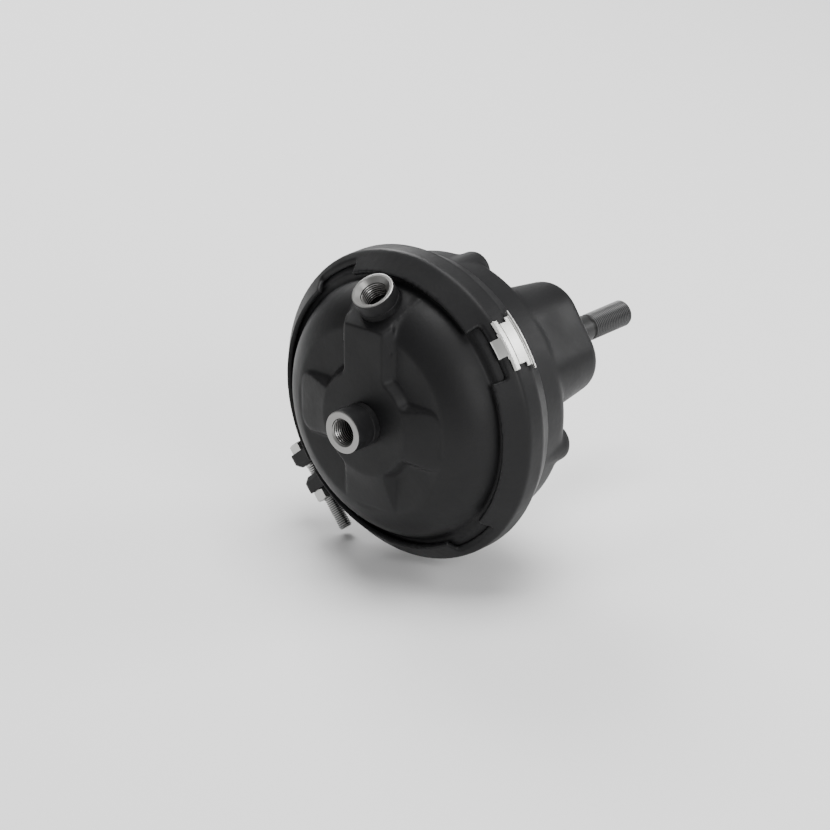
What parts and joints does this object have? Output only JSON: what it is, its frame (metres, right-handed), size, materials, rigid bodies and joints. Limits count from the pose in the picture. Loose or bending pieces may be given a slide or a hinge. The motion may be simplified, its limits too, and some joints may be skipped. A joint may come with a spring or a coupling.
{
  "type": "air brake chamber",
  "caption": "Service brake chamber: bowl cover with two air ports, V-section clamp ring, diaphragm, return spring, sliding push rod and a rear housing with an elongated mounting nose.",
  "frame": {"origin": "on the push rod axis, in the plane of the mounting face", "axes": "+X along the push rod, out of the chamber; +Z towards the upper air port"},
  "size_m": [0.246, 0.1821, 0.1834],
  "materials": {
    "black_coat": "satin",
    "bright_steel": "machined",
    "zinc": "zinc plated",
    "clip_steel": "bright",
    "phosphate": "phosphated",
    "rubber": "matt",
    "nylon": "moulded",
    "black_plastic": "moulded",
    "spring_steel": "coated"
  },
  "bodies": {
    "chamber": {"pressure_cover": "black_coat", "centre_port_boss": "bright_steel", "top_port_boss": "bright_steel", "clamp_ring": "black_coat", "clamp_lug_upper": "black_coat", "clamp_lug_lower": "black_coat", "clamp_bolt": "zinc", "clamp_nut": "zinc", "label_clip": "clip_steel", "rear_housing": "black_coat", "vent_plugs": "black_plastic", "nose_stiffener": "black_coat", "mounting_nuts": "zinc", "guide_bush": "nylon", "dust_seal": "rubber", "seal_retainer": "zinc", "diaphragm": "rubber", "return_spring": "spring_steel"},
    "rod": {"push_plate": "phosphate", "rod_socket": "phosphate", "push_rod": "phosphate"}
  },
  "joints": [
    {"name": "rod_slide", "type": "slide", "parent": "chamber", "child": "rod", "axis": [1, 0, 0], "range_m": [0, 0.06], "stiffness_N_per_m": 1500, "springref_m": -0.06, "deforming": ["return_spring", "diaphragm"]}
  ]
}
